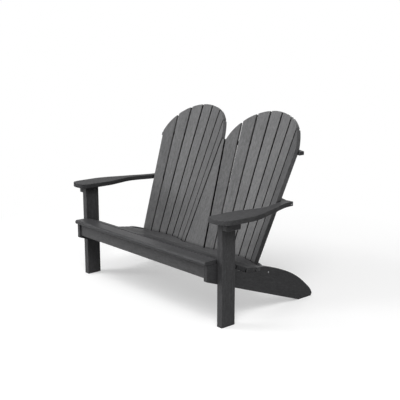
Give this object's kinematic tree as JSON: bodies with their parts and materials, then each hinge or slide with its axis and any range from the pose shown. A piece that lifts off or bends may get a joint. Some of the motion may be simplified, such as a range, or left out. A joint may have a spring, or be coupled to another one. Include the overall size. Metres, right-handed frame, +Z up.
{
  "type": "garden bench",
  "caption": "Wide garden bench of plastic boards with a sloping slatted seat, twin fan-shaped slatted backs, curved flat arms and side rails that run back down to the floor.",
  "frame": {"origin": "on the floor, under the middle of the bench's box", "axes": "+X to the right of someone facing the bench, -Y to the front, +Z up"},
  "size_m": [1.41, 0.8428, 1.0339],
  "materials": {
    "plastic_leg": "dark grey board with a faint lengthwise grain, satin",
    "plastic_arm_block": "dark grey board with a faint lengthwise grain, satin",
    "plastic_arm": "dark grey board with a faint lengthwise grain, satin",
    "plastic_stringer": "dark grey board with a faint lengthwise grain, satin",
    "plastic_apron": "dark grey board with a faint lengthwise grain, satin",
    "plastic_seat": "dark grey board with a faint lengthwise grain, satin",
    "plastic_seat_support": "dark grey board with a faint lengthwise grain, satin",
    "plastic_back": "dark grey board with a faint lengthwise grain, satin",
    "plastic_wedge": "dark grey board with a faint lengthwise grain, satin",
    "plastic_rail": "dark grey board with a faint lengthwise grain, satin",
    "steel_screw": "bare stainless steel"
  },
  "bodies": {
    "root": {"leg_left": "plastic_leg", "leg_right": "plastic_leg", "arm_block_left": "plastic_arm_block", "arm_block_right": "plastic_arm_block", "arm_left": "plastic_arm", "arm_right": "plastic_arm", "stringer_left": "plastic_stringer", "stringer_right": "plastic_stringer", "apron": "plastic_apron", "seat_slat_1": "plastic_seat", "seat_slat_2": "plastic_seat", "seat_slat_3": "plastic_seat", "seat_slat_4": "plastic_seat", "seat_slat_5": "plastic_seat", "seat_slat_6": "plastic_seat", "seat_support": "plastic_seat_support", "back_left_1": "plastic_back", "back_left_2": "plastic_back", "back_left_3": "plastic_back", "back_left_4": "plastic_back", "back_left_5": "plastic_back", "back_left_6": "plastic_back", "back_left_7": "plastic_back", "back_right_1": "plastic_back", "back_right_2": "plastic_back", "back_right_3": "plastic_back", "back_right_4": "plastic_back", "back_right_5": "plastic_back", "back_right_6": "plastic_back", "back_right_7": "plastic_back", "back_wedge": "plastic_wedge", "top_rail": "plastic_rail", "mid_rail": "plastic_rail", "lower_rail": "plastic_rail", "rail_screw_left": "steel_screw", "rail_screw_right": "steel_screw", "block_screw_left": "steel_screw", "block_screw_right": "steel_screw", "arm_screw_left_front": "steel_screw", "arm_screw_right_front": "steel_screw", "arm_screw_left_rear": "steel_screw", "arm_screw_right_rear": "steel_screw", "leg_bolt_left_1": "steel_screw", "leg_bolt_left_2": "steel_screw", "leg_bolt_right_1": "steel_screw", "leg_bolt_right_2": "steel_screw", "slat_screw_left_1": "steel_screw", "slat_screw_left_2": "steel_screw", "slat_screw_left_3": "steel_screw", "slat_screw_left_4": "steel_screw", "slat_screw_left_5": "steel_screw", "slat_screw_left_6": "steel_screw", "slat_screw_left_7": "steel_screw", "slat_screw_right_1": "steel_screw", "slat_screw_right_2": "steel_screw", "slat_screw_right_3": "steel_screw", "slat_screw_right_4": "steel_screw", "slat_screw_right_5": "steel_screw", "slat_screw_right_6": "steel_screw", "slat_screw_right_7": "steel_screw"}
  },
  "joints": []
}
